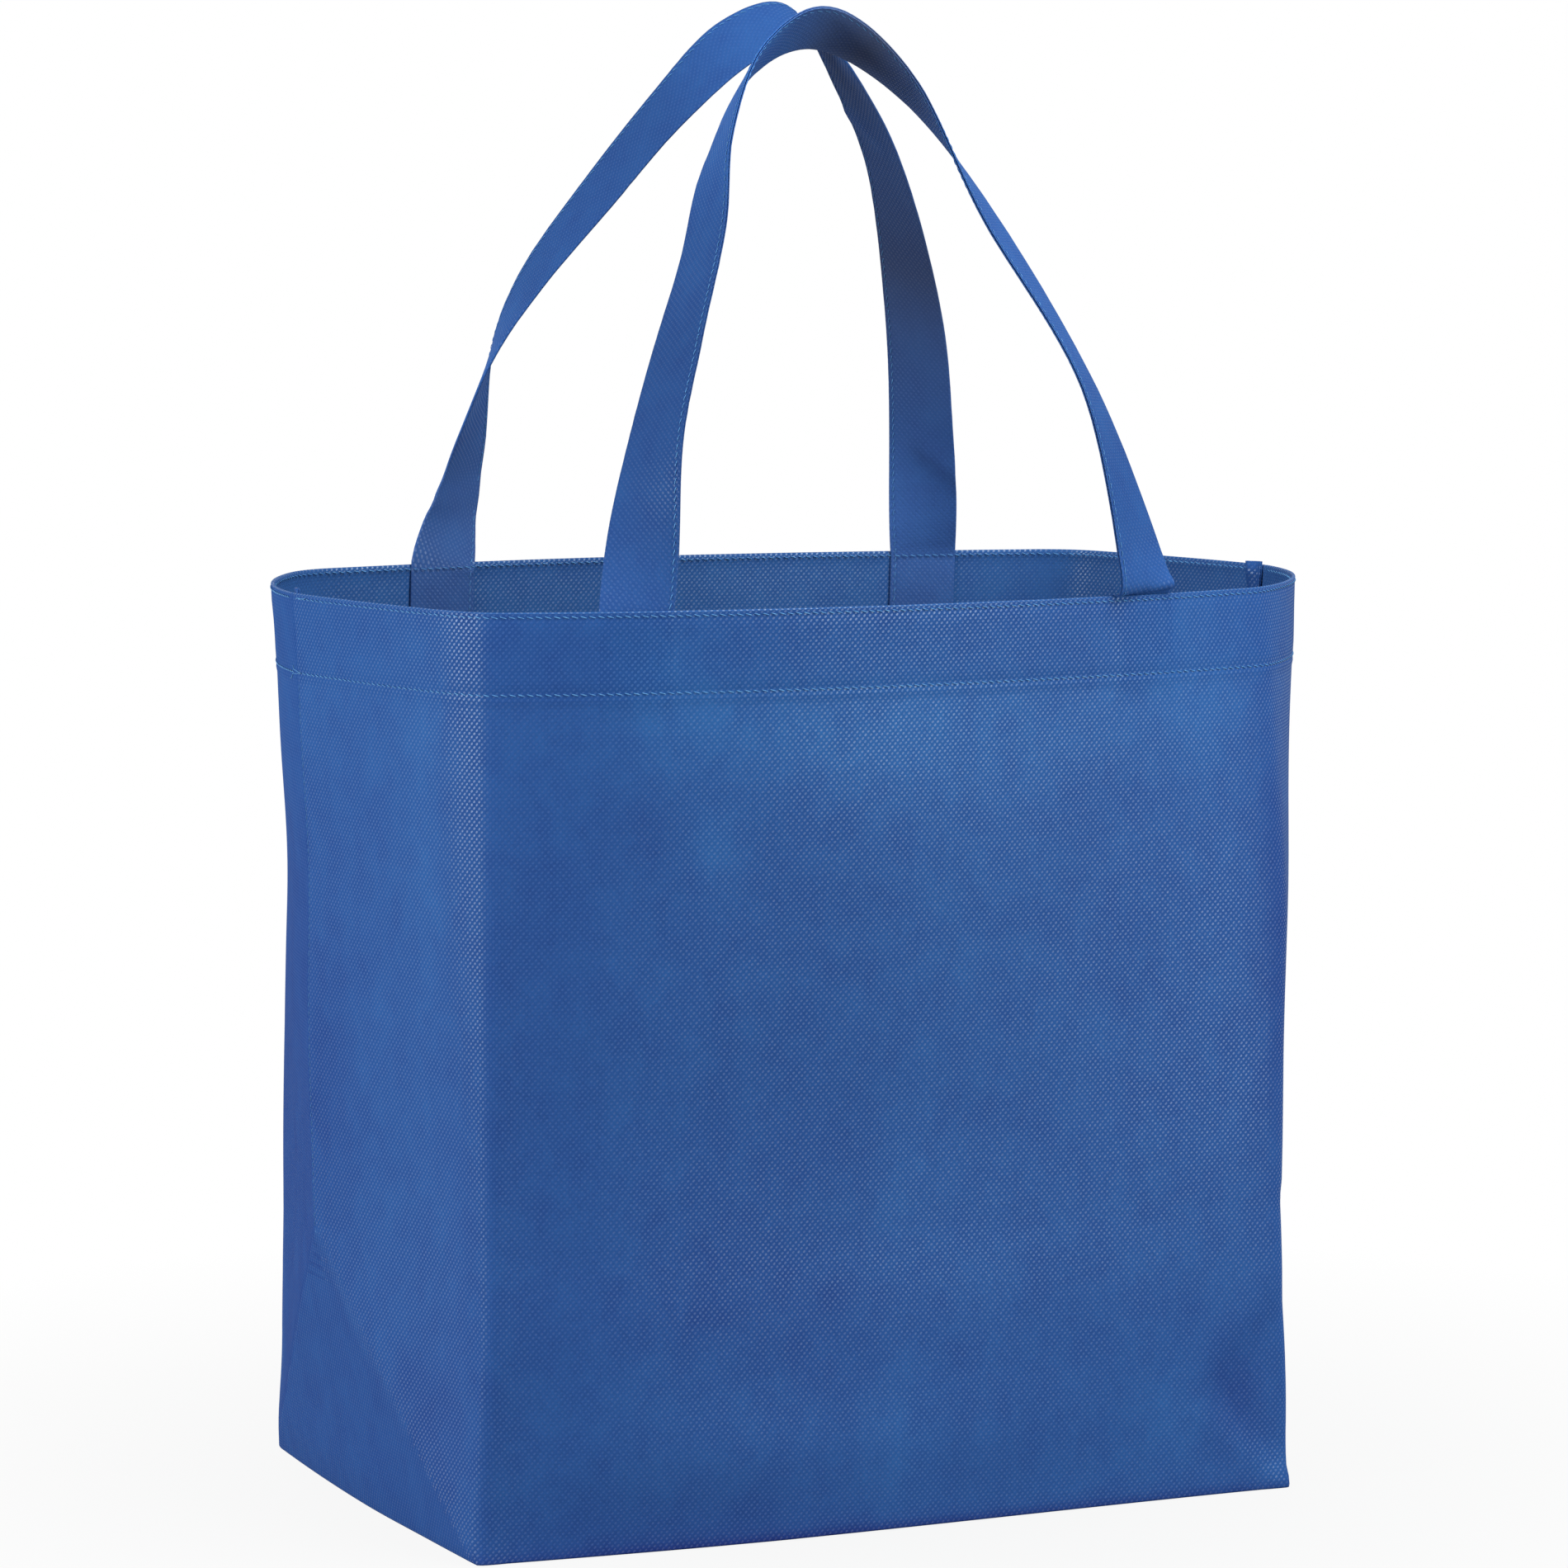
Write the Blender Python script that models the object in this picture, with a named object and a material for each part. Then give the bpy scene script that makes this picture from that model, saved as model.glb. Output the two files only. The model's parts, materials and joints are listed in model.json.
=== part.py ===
"""Non-woven tote bag: one folded and sewn sheet with a bottom gusset, and two strap handles.

Metres, +Z up. The bag stands on its flat bottom, with the front panel facing -Y.
The origin is on the floor, under the middle of the whole bag's box.
"""
import math

import bpy
from mathutils import Matrix, Vector

# the sheet
SHEET = 0.0005                  # thickness of one layer
BASE_WIDTH = 0.310              # bottom, along X
BASE_DEPTH = 0.206              # bottom, along Y; half of it folds up each side
HEIGHT = 0.325                  # floor to rim
HEM = 0.031                     # depth of the turned-in top edge
SEAM_FLAP = 0.007               # seam allowance, inside, pressed towards the back
SIDE_BULGE = 0.022              # how far the top of each folded-up end leans out

# plan of the wall: its heading in degrees along the sheet, from the left seam to the
# right seam: seam, before the corner, after it, middle, before, after, seam
LOW_HEADING = (-77, -77, 0, 0, 0, 77, 77)
RIM_FRONT_HEADING = (-82, -70, -23, 5, 18, 38, 88)
RIM_BACK_HEADING = (-89, -55, -9, -3, 10, 64, 78)
RIM_SHIFT = 0.008               # the rim leans this far to the right
CORNER_AT_BASE = 0.0015         # half the length of sheet that turns each corner
CORNER_AT_RIM = 0.013

# the straps
STRAP_WIDTH = 0.0254
STRAP_THICK = 0.0010            # a strip folded on itself
STRAP_TAIL = 0.034              # sewn length below the rim
FOOT_OFFSET = 0.0985            # from the middle of the panel to the middle of a foot
STRAP_GAP = 0.0003              # clear of the hem's inner face
STRAP_RISE = 0.195              # top of each loop above the rim

# each strap from its left foot to its right: x and y in millimetres, height above the
# rim as a share of STRAP_RISE, then the heading and the rise of the strap's width in
# degrees (from its plain edge to its stitched edge, which faces the bag's middle)
FRONT_STATIONS = (
    (-92.0, -105.6, 0.23, -60, 7),
    (-73.0, -88.2, 0.45, -73, 15),
    (-53.0, -66.2, 0.68, -80, 22),
    (-39.6, -50.4, 0.83, -92, 29),
    (-23.4, -39.3, 0.93, -98, 32),
    (0.5, -32.5, 0.995, -93, 34),
    (24.8, -39.4, 0.93, -94, 24),
    (45.7, -55.5, 0.76, -115, 13),
    (69.5, -77.8, 0.50, -123, 5),
    (88.7, -95.1, 0.22, -133, 1),
)
BACK_STATIONS = (
    (-81.9, 96.2, 0.195, 39, -2),
    (-76.6, 86.0, 0.38, 60, 10),
    (-61.2, 72.8, 0.56, 80, 17),
    (-39.9, 59.1, 0.725, 87, 22),
    (-17.4, 45.0, 0.88, 93, 28),
    (6.0, 35.0, 0.995, 94, 31),
    (29.3, 34.9, 0.99, 98, 18),
    (56.4, 49.7, 0.835, 106, 15),
    (75.9, 66.0, 0.66, 112, 14),
    (95.4, 89.1, 0.38, 130, 7),
    (103.0, 100.6, 0.19, 142, 2),
)
STATION_STEPS = 4               # rings of the strap between two stations

HALF_SIDE = BASE_DEPTH / 2
HALF_ROUND = BASE_WIDTH + BASE_DEPTH


def half_columns():
    """Where the sheet's upright lines stand, from the left seam to the right seam."""
    side = [0.0, SEAM_FLAP, SEAM_FLAP + 0.0008]
    side += [HALF_SIDE * share for share in (0.2, 0.4, 0.6, 0.8)]
    side += [HALF_SIDE - 0.0065, HALF_SIDE - 0.0025, HALF_SIDE]
    half = BASE_WIDTH / 2
    foot = STRAP_WIDTH / 2
    front = [half - 0.0025, half - 0.0065, (half + FOOT_OFFSET + foot) / 2]
    front += [FOOT_OFFSET + foot, FOOT_OFFSET, FOOT_OFFSET - foot]
    front += [(FOOT_OFFSET - foot) / 2]
    middle = HALF_ROUND / 2
    left = side + [middle - x for x in front]
    return left + [middle] + [HALF_ROUND - x for x in reversed(left)]


def row_heights():
    """Heights of the sheet's level lines; below the apex they meet the diagonal folds."""
    side = [c for c in half_columns() if c <= HALF_SIDE + 1e-6]
    low = [HALF_SIDE - c for c in reversed(side)]
    hem_edge = HEIGHT - HEM
    steps = 7
    rise = hem_edge - SHEET - HALF_SIDE
    high = [HALF_SIDE + rise * (k + 1) / steps for k in range(steps)]
    high += [hem_edge, HEIGHT - HEM / 2, HEIGHT - 0.0004]
    return low + high


def ramp(x, xs, ys):
    for x0, x1, y0, y1 in zip(xs, xs[1:], ys, ys[1:]):
        if x <= x1:
            return y0 + (y1 - y0) * (x - x0) / (x1 - x0)
    return ys[-1]


def wall_line(z, rim_heading, side):
    """Plan points of one half of the wall at height z, from the left seam; side is -1
    for the front and +1 for the back."""
    corner = ramp(z, (0, HALF_SIDE, HEIGHT), (CORNER_AT_BASE, CORNER_AT_RIM * 0.6, CORNER_AT_RIM))
    knots = (0, HALF_SIDE - corner, HALF_SIDE + corner, HALF_ROUND / 2)
    knots += (HALF_ROUND - HALF_SIDE - corner, HALF_ROUND - HALF_SIDE + corner, HALF_ROUND)
    share = max(z - HALF_SIDE, 0.0) / (HEIGHT - HALF_SIDE)
    turn = [low + (rim - low) * share for low, rim in zip(LOW_HEADING, rim_heading)]
    flat = HALF_SIDE - z
    steps = 516
    x = y = 0.0
    run = [(0.0, 0.0)]
    for k in range(steps):
        s = HALF_ROUND * (k + 0.5) / steps
        a = ramp(s, knots, turn)
        if s < flat:
            a = -90
        if s > HALF_ROUND - flat:
            a = 90
        x += math.cos(math.radians(a)) * HALF_ROUND / steps
        y -= side * math.sin(math.radians(a)) * HALF_ROUND / steps
        run.append((x, y))
    return run


def seam_x(z, width):
    """X of the left seam at height z: straight up the folded end, then out to the rim."""
    lean = SIDE_BULGE * min(z / HALF_SIDE, 1.0)
    apex = BASE_WIDTH / 2 + SIDE_BULGE
    if z <= HALF_SIDE:
        return -(BASE_WIDTH / 2 + lean)
    share = (z - HALF_SIDE) / (HEIGHT - HALF_SIDE)
    return -(apex + (width / 2 - RIM_SHIFT - apex) * share)


def rim_width():
    front = wall_line(HEIGHT, RIM_FRONT_HEADING, -1)
    back = wall_line(HEIGHT, RIM_BACK_HEADING, 1)
    return (front[-1][0] + back[-1][0]) / 2


def section(z, columns):
    """Outer plan points at height z, for the front columns and for the back columns."""
    width = rim_width()
    left = seam_x(z, width)
    if z <= HALF_SIDE:
        right = -left
    else:
        share = (z - HALF_SIDE) / (HEIGHT - HALF_SIDE)
        apex = BASE_WIDTH / 2 + SIDE_BULGE
        right = apex + (width / 2 + RIM_SHIFT - apex) * share
    halves = []
    for heading, side in ((RIM_FRONT_HEADING, -1), (RIM_BACK_HEADING, 1)):
        run = wall_line(z, heading, side)
        steps = len(run) - 1
        # the two halves meet at the right seam
        miss_x = (right - left) - run[-1][0]
        miss_y = 0.0 - run[-1][1]
        # what closes them comes from the walls, not from the flat folded-up ends
        flat = max(HALF_SIDE - z, 0.0)
        points = []
        for c in columns:
            k = min(int(c / HALF_ROUND * steps), steps - 1)
            f = c / HALF_ROUND * steps - k
            x = run[k][0] * (1 - f) + run[k + 1][0] * f
            y = run[k][1] * (1 - f) + run[k + 1][1] * f
            share = min(max((c - flat) / (HALF_ROUND - 2 * flat), 0.0), 1.0)
            points.append((left + x + miss_x * share, y + miss_y * share))
        halves.append(points)
    return halves


def ring_at(z, columns):
    """The closed ring at height z: the front from left to right, then the back home."""
    front, back = section(z, columns)
    return [Vector((x, y, z)) for x, y in front + back[-2:0:-1]]


def inward(ring):
    """Miter directions into the bag for each point of a closed ring."""
    out = []
    count = len(ring)
    for k in range(count):
        before = ring[k] - ring[k - 1]
        after = ring[(k + 1) % count] - ring[k]
        n0 = Vector((-before.y, before.x, 0)).normalized()
        n1 = Vector((-after.y, after.x, 0)).normalized()
        n = (n0 + n1).normalized()
        out.append(n / max(n.dot(n0), 0.6))
    return out


def layers(place, z, back):
    """How many layers of sheet lie at this place of the half ring."""
    s = min(place, HALF_ROUND - place)
    count = 1
    if z > HEIGHT - HEM - 0.0001:
        count += 1
    if s < HALF_SIDE - z - 0.0001:
        count += 2
    elif back and s < SEAM_FLAP + 0.0001:
        count += 2
    return count


def new_material(name, colour, roughness):
    mat = bpy.data.materials.new(name)
    mat.use_nodes = True
    shader = mat.node_tree.nodes["Principled BSDF"]
    shader.inputs["Base Color"].default_value = (*colour, 1.0)
    shader.inputs["Roughness"].default_value = roughness
    shader.inputs["Metallic"].default_value = 0.0
    return mat


def new_object(name, points, faces, material):
    mesh = bpy.data.meshes.new(name)
    mesh.from_pydata([tuple(p) for p in points], [], faces)
    mesh.validate()
    mesh.shade_smooth()
    mesh.set_sharp_from_angle(angle=math.radians(35))
    obj = bpy.data.objects.new(name, mesh)
    obj.data.materials.append(material)
    bpy.context.scene.collection.objects.link(obj)
    return obj


def make_body(material):
    columns = half_columns()
    heights = row_heights()
    places = [(c, False) for c in columns] + [(c, True) for c in columns[-2:0:-1]]
    count = len(places)
    points = []
    outer, inner = [], []
    for z in heights:
        ring = ring_at(z, columns)
        into = inward(ring)
        outer.append(list(range(len(points), len(points) + count)))
        points += ring
        inner.append(list(range(len(points), len(points) + count)))
        level = max(z, SHEET)
        for p, n, (c, back) in zip(ring, into, places):
            q = p + n * SHEET * layers(c, z, back)
            points.append(Vector((q.x, q.y, level)))
    # the fold along the rim
    ring = ring_at(HEIGHT, columns)
    into = inward(ring)
    crown = list(range(len(points), len(points) + count))
    points += [p + n * SHEET for p, n in zip(ring, into)]

    faces = []
    for lower, upper in zip(outer, outer[1:]):
        for k in range(count):
            j = (k + 1) % count
            faces.append((lower[k], lower[j], upper[j], upper[k]))
    for lower, upper in zip(inner, inner[1:]):
        for k in range(count):
            j = (k + 1) % count
            faces.append((lower[j], lower[k], upper[k], upper[j]))
    for k in range(count):
        j = (k + 1) % count
        faces.append((outer[-1][k], outer[-1][j], crown[j], crown[k]))
        faces.append((crown[k], crown[j], inner[-1][j], inner[-1][k]))

    # the bottom: its front and back edges run between the corner columns
    first = columns.index(HALF_SIDE)
    last = len(columns) - 1 - first
    wide = last - first
    for ring, up in ((outer[0], False), (inner[0], True)):
        grid = []
        for row in range(2 * first + 1):
            left = ring[(first - row) % count]
            right = ring[last + row]
            line = [left]
            for col in range(1, wide):
                if row == 0:
                    line.append(ring[first + col])
                elif row == 2 * first:
                    line.append(ring[(first - row - col) % count])
                else:
                    a, b = points[left], points[right]
                    top = points[ring[first + col]]
                    x = top.x
                    share = (x - a.x) / (b.x - a.x)
                    points.append(Vector((x, a.y + (b.y - a.y) * share, a.z)))
                    line.append(len(points) - 1)
            line.append(right)
            grid.append(line)
        for low, high in zip(grid, grid[1:]):
            for col in range(wide):
                quad = (low[col], low[col + 1], high[col + 1], high[col])
                faces.append(quad if up else quad[::-1])
    return new_object("bag_body", points, faces, material)


def spline(values, t):
    """Smooth curve through the given values, one per whole number of t."""
    k = min(max(int(t), 0), len(values) - 2)
    f = t - k
    p1, p2 = values[k], values[k + 1]
    p0 = values[k - 1] if k else 2 * p1 - p2
    p3 = values[k + 2] if k + 2 < len(values) else 2 * p2 - p1
    a = 2 * p1 + (p2 - p0) * f
    b = (2 * p0 - 5 * p1 + 4 * p2 - p3) * f * f
    c = (3 * p1 - p0 - 3 * p2 + p3) * f * f * f
    return 0.5 * (a + b + c)


def foot_ring(place, z, back, columns):
    """Middle line and both edges of a strap's foot against the hem's inner face."""
    ring = ring_at(z, columns)
    into = inward(ring)
    count = len(ring)
    k = columns.index(place)
    if back:
        k = (count - k) % count
    depth = 2 * SHEET + STRAP_GAP + STRAP_THICK / 2
    return [ring[i] + into[i] * depth for i in (k - 1, k, k + 1)]


def make_strap(name, stations, back, material):
    columns = half_columns()
    middle = HALF_ROUND / 2
    foot_places = [min(columns, key=lambda c: abs(c - (middle + s * FOOT_OFFSET))) for s in (-1, 1)]
    tails = (HEIGHT - STRAP_TAIL, HEIGHT - STRAP_TAIL / 2, HEIGHT - 0.002)
    rings = []

    def foot(place, levels, right):
        out = []
        for z in levels:
            edges = foot_ring(place, z, back, columns)
            # from the plain edge to the stitched edge, which is nearer the bag's middle
            if edges[0].x > edges[2].x:
                edges.reverse()
            if right:
                edges.reverse()
            out.append(edges)
        return out

    left_foot = foot(foot_places[0], tails, False)
    right_foot = foot(foot_places[1], tails[::-1], True)

    def angles(edges):
        d = edges[2] - edges[0]
        return math.degrees(math.atan2(d.y, d.x)), 0.0

    first, last = left_foot[-1], right_foot[0]
    knots = [(*first[1], *angles(first))]
    for x, y, up, heading, rise in stations:
        knots.append((x / 1000, y / 1000, HEIGHT + up * STRAP_RISE, heading, rise))
    end_heading, end_rise = angles(last)
    turn = -360 if end_heading > 0 and not back else 0
    knots.append((*last[1], end_heading + turn, end_rise))
    tracks = list(zip(*knots))
    total = (len(knots) - 1) * STATION_STEPS
    centres, widths = [], []
    for k in range(1, total):
        t = k / STATION_STEPS
        x, y, z, heading, rise = (spline(track, t) for track in tracks)
        h, r = math.radians(heading), math.radians(rise)
        centres.append(Vector((x, y, z)))
        widths.append(Vector((math.cos(h) * math.cos(r), math.sin(h) * math.cos(r), math.sin(r))))
    line = [first[1]] + centres + [last[1]]
    for k, w in enumerate(widths):
        along = (line[k + 2] - line[k]).normalized()
        w = (w - along * w.dot(along)).normalized()
        c = centres[k]
        rings.append([c - w * STRAP_WIDTH / 2, c, c + w * STRAP_WIDTH / 2])
    rings = left_foot + rings + right_foot

    points, faces = [], []
    for k, edges in enumerate(rings):
        before = rings[max(k - 1, 0)][1]
        after = rings[min(k + 1, len(rings) - 1)][1]
        along = (after - before).normalized()
        across = (edges[2] - edges[0]).normalized()
        n = along.cross(across).normalized() * STRAP_THICK / 2
        points += [edges[0] + n, edges[1] + n, edges[2] + n]
        points += [edges[2] - n, edges[1] - n, edges[0] - n]
    for k in range(len(rings) - 1):
        for i in range(6):
            j = (i + 1) % 6
            faces.append((6 * k + i, 6 * k + 6 + i, 6 * k + 6 + j, 6 * k + j))
    end = 6 * (len(rings) - 1)
    faces += [(0, 1, 4, 5), (1, 2, 3, 4)]
    faces += [(end + 5, end + 4, end + 1, end), (end + 4, end + 3, end + 2, end + 1)]
    return new_object(name, points, faces, material)


for old in list(bpy.data.objects):
    bpy.data.objects.remove(old, do_unlink=True)

BLUE = (0.022, 0.098, 0.360)
bag = [
    make_body(new_material("non-woven body", BLUE, 0.75)),
    make_strap("front_handle", FRONT_STATIONS, False, new_material("non-woven front strap", BLUE, 0.75)),
    make_strap("back_handle", BACK_STATIONS, True, new_material("non-woven back strap", BLUE, 0.75)),
]
spread = [v.co for obj in bag for v in obj.data.vertices]
middle_x = (min(p.x for p in spread) + max(p.x for p in spread)) / 2
middle_y = (min(p.y for p in spread) + max(p.y for p in spread)) / 2
for obj in bag:
    obj.data.transform(Matrix.Translation((-middle_x, -middle_y, 0)))
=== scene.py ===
import json
import math

import bpy
import numpy as np
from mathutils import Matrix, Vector, noise

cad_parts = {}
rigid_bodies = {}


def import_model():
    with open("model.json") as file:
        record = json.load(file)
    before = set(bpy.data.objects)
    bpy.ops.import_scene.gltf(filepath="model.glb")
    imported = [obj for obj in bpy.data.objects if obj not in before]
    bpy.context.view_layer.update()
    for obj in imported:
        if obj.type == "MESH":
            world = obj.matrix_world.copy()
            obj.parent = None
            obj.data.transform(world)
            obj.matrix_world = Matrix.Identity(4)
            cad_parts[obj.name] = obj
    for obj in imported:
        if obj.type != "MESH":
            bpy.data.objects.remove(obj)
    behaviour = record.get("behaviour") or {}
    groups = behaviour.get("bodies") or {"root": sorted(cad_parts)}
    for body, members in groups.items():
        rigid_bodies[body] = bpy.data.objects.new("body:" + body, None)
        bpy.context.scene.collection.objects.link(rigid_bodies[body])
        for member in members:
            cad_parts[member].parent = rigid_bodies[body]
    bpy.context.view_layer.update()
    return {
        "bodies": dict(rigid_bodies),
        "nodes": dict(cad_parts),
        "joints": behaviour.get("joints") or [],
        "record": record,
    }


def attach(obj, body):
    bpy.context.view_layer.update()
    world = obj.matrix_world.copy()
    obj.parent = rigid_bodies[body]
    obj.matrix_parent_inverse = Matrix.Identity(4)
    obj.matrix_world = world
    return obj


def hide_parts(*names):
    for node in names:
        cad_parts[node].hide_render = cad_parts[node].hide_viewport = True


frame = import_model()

bpy.ops.object.select_all(action="DESELECT")

# sheet and cut
SHEET = 0.0005
CLOTH = 0.00034                  # the sheet as pressed flat in its folds
BOTTOM_TURN = 0.0012             # how softly the panels turn into the bottom
TURN_ANGLES = (0.0, 0.39, 0.78, 1.18)
RIM_TURN = 0.00045               # how tightly the hem folds over
HEM_INSIDE = 2 * RIM_TURN        # from the outer layer to the hem's inner one
BASE_WIDTH = 0.310
BASE_DEPTH = 0.206
HEIGHT = 0.325
HEM = 0.031
SEAM_FLAP = 0.007
SIDE_BULGE = 0.022
HALF_SIDE = BASE_DEPTH / 2
HALF_ROUND = BASE_WIDTH + BASE_DEPTH

# plan of the wall, as headings in degrees along the sheet
LOW_HEADING = (-77, -77, 0, 0, 0, 77, 77)
RIM_FRONT_HEADING = (-82, -70, -23, 5, 18, 38, 88)
RIM_BACK_HEADING = (-89, -55, -9, -3, 10, 64, 78)
RIM_SHIFT = 0.008
CORNER_AT_BASE = 0.0015
CORNER_AT_RIM = 0.013
CREASE_DRIFT = 0.0065            # the front left crease wanders this far onto the front
CENTRE = (-0.00799, 0.00654)     # moves the bag's middle to the middle of the box

# sewing
STITCH_TOP = 0.0018              # below the rim
STITCH_LOW = 0.0280
STITCH_PITCH = 0.0030
STITCH_LENGTH = 0.0022

# straps
STRAP_WIDTH = 0.0254
STRAP_THICK = 0.0011
STRAP_TAIL = 0.034
FOOT_OFFSET = 0.0985
STRAP_RISE = 0.195
STRAP_STITCH = 0.0016            # in from the edge
STRAP_CLEAR = 0.0002             # between a strap's foot and the hem

# spacing of the embossed dots, across and along the sheet
DOT_ACROSS = 0.00208
DOT_ALONG = 0.00229


def ease(x, a, b):
    """0 before a, 1 after b, smooth between."""
    t = np.clip((x - a) / (b - a), 0.0, 1.0)
    return t * t * (3 - 2 * t)


def spaced(stops, step):
    """The given stops, with evenly spaced places no further apart than step between them."""
    out = [stops[0]]
    for a, b in zip(stops, stops[1:]):
        parts = max(1, math.ceil((b - a) / step - 1e-6))
        out += [a + (b - a) * (k + 1) / parts for k in range(parts)]
    return out


def by_height(z, low, middle, high):
    """A value given at the bottom, at the gusset's top and at the rim, without a kink between."""
    reach = max(min(0.045, z, HEIGHT - z), 0.0)
    levels = z + np.linspace(-reach, reach, 9)
    return float(np.mean(np.interp(levels, (0, HALF_SIDE, HEIGHT), (low, middle, high))))


def half_run(z, rim_heading, side):
    """Fine plan of one half of the wall at height z, starting at the left seam."""
    corner = by_height(z, CORNER_AT_BASE, CORNER_AT_RIM * 0.6, CORNER_AT_RIM)
    far = HALF_ROUND - HALF_SIDE
    share = by_height(z, 0, 0, 1)
    turn = [low + (rim - low) * share for low, rim in zip(LOW_HEADING, rim_heading)]
    knots = [0, HALF_SIDE - corner, HALF_SIDE + corner, HALF_ROUND / 2]
    knots += [far - corner, far + corner, HALF_ROUND]
    if side < 0:
        # the front left edge is a crisp crease, and the end turns softly before it
        crease = HALF_SIDE + CREASE_DRIFT * float(ease(z, 0.0, 0.09))
        crisp = by_height(z, 0.0040, 0.0018, 0.0026)
        soft = by_height(z, 0.008, 0.019, 0.024)
        before = by_height(z, -77, -62, -50)
        after = by_height(z, 0, -2, -22)
        tight = by_height(z, CORNER_AT_BASE, 0.0060, 0.0060)
        knots[4:6] = [far - tight, far + tight]
        knots[1:3] = [crease - soft, crease - crisp, crease + crisp]
        turn[1:3] = [turn[1], before, after]
    flat = HALF_SIDE - z
    steps = 2064
    ds = HALF_ROUND / steps
    s = (np.arange(steps) + 0.5) * ds
    a = np.interp(s, knots, turn)
    a = np.where(s < flat, -90.0, a)
    a = np.where(s > HALF_ROUND - flat, 90.0, a)
    a = np.radians(a)
    x = np.concatenate(([0.0], np.cumsum(np.cos(a)) * ds))
    y = np.concatenate(([0.0], -side * np.cumsum(np.sin(a)) * ds))
    return x, y


def rim_width():
    front = half_run(HEIGHT, RIM_FRONT_HEADING, -1)[0][-1]
    back = half_run(HEIGHT, RIM_BACK_HEADING, 1)[0][-1]
    return (front + back) / 2


WIDTH = rim_width()
APEX = BASE_WIDTH / 2 + SIDE_BULGE


def seam_places(z):
    """X of the left and the right seam at height z."""
    if z <= HALF_SIDE:
        x = BASE_WIDTH / 2 + SIDE_BULGE * max(z, 0) / HALF_SIDE
        return -x, x
    share = (z - HALF_SIDE) / (HEIGHT - HALF_SIDE)
    left = -(APEX + (WIDTH / 2 - RIM_SHIFT - APEX) * share)
    right = APEX + (WIDTH / 2 + RIM_SHIFT - APEX) * share
    return left, right


def bump_at(z, middle, spread):
    return math.exp(-((z - middle) / spread) ** 2)


def lean(s, z, side):
    """Sideways shift of the sheet near its upright edges, where it stands fuller or pinched."""
    s = np.asarray(s, dtype=float)
    far = HALF_ROUND - HALF_SIDE
    right = 0.0008 + 0.0034 * bump_at(z, 0.213, 0.050)
    right += 0.0012 * bump_at(z, 0.036, 0.030) - 0.0024 * bump_at(z, HEIGHT, 0.018)
    near_right = ease(s, far - 0.085, far - 0.005) * (1 - ease(s, far + 0.03, far + 0.09))
    left = 0.0014 * bump_at(z, 0.228, 0.030) + 0.0009 * bump_at(z, 0.075, 0.040)
    left -= 0.0014 * bump_at(z, 0.012, 0.014) + 0.0010 * bump_at(z, HEIGHT, 0.012)
    near_left = 1 - ease(s, 0.05, 0.16)
    if side < 0:
        return right * near_right + left * (1 - ease(s, 0.0, 0.06))
    return left * near_left


def wall_at(z, columns, side):
    """Outer plan points and outward directions of one half of the wall at height z."""
    left, right = seam_places(z)
    x, y = half_run(z, RIM_BACK_HEADING if side > 0 else RIM_FRONT_HEADING, side)
    s = np.linspace(0, HALF_ROUND, len(x))
    flat = max(HALF_SIDE - z, 0.0)
    share = np.clip((s - flat) / (HALF_ROUND - 2 * flat), 0.0, 1.0)
    x = left + x + (right - left - x[-1]) * share + lean(s, z, side)
    y = y - y[-1] * share
    c = np.asarray(columns)
    px, py = np.interp(c, s, x), np.interp(c, s, y)
    e = 0.0008
    tx = np.interp(c + e, s, x) - np.interp(c - e, s, x)
    ty = np.interp(c + e, s, y) - np.interp(c - e, s, y)
    # both halves leave the seam square to it
    end = (c < e) | (c > HALF_ROUND - e)
    tx = np.where(end, 0.0, tx)
    ty = np.where(end, np.where(c < e, side * 1.0, -side * 1.0), ty)
    length = np.hypot(tx, ty)
    nx, ny = -side * ty / length, side * tx / length
    return px, py, nx, ny


def droop(x, z):
    """The rim hangs a little lower towards the right."""
    return -0.0022 * ease(x, -0.10, 0.19) * (max(z, 0) / HEIGHT) ** 2


def swell(s, z, side):
    """Soft waves of the standing sheet, outwards."""
    turn = side * math.pi * s / HALF_ROUND
    u, v = math.cos(turn) * HALF_ROUND / math.pi, math.sin(turn) * HALF_ROUND / math.pi
    calm = float(ease(z, 0.0, 0.05)) * (1 - 0.7 * float(ease(z, HEIGHT - HEM - 0.01, HEIGHT)))
    wave = 0.0012 * noise.noise(Vector((u * 11, v * 11, z * 6)))
    wave += 0.0004 * noise.noise(Vector((u * 31 + 8, v * 31, z * 19)))
    crisp = min(abs(s - HALF_SIDE), abs(s - HALF_ROUND + HALF_SIDE))
    return wave * calm * (0.25 + 0.75 * float(ease(crisp, 0.0, 0.02)))


def belly(s, z, side):
    """How far the foot of the bag bulges outwards: most along the middle of each bottom edge."""
    seam = min(s, HALF_ROUND - s)
    if seam < HALF_SIDE:
        return 0.0027 * math.cos(math.pi * seam / BASE_DEPTH) * (1 - float(ease(z, 0.020, 0.110)))
    if side > 0:
        along = math.sin(math.pi * (s - HALF_SIDE) / BASE_WIDTH)
    elif s < HALF_SIDE + 0.117:
        along = max(math.sin(math.pi * min((s - HALF_SIDE) / BASE_WIDTH * 1.32, 0.5)), 0.0)
    else:
        along = 1 - float(ease(s, 0.20, 0.41))
    return along * (0.0056 * (1 - float(ease(z, 0.030, 0.160))) + 0.0014 * bump_at(z, 0.030, 0.018))


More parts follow.
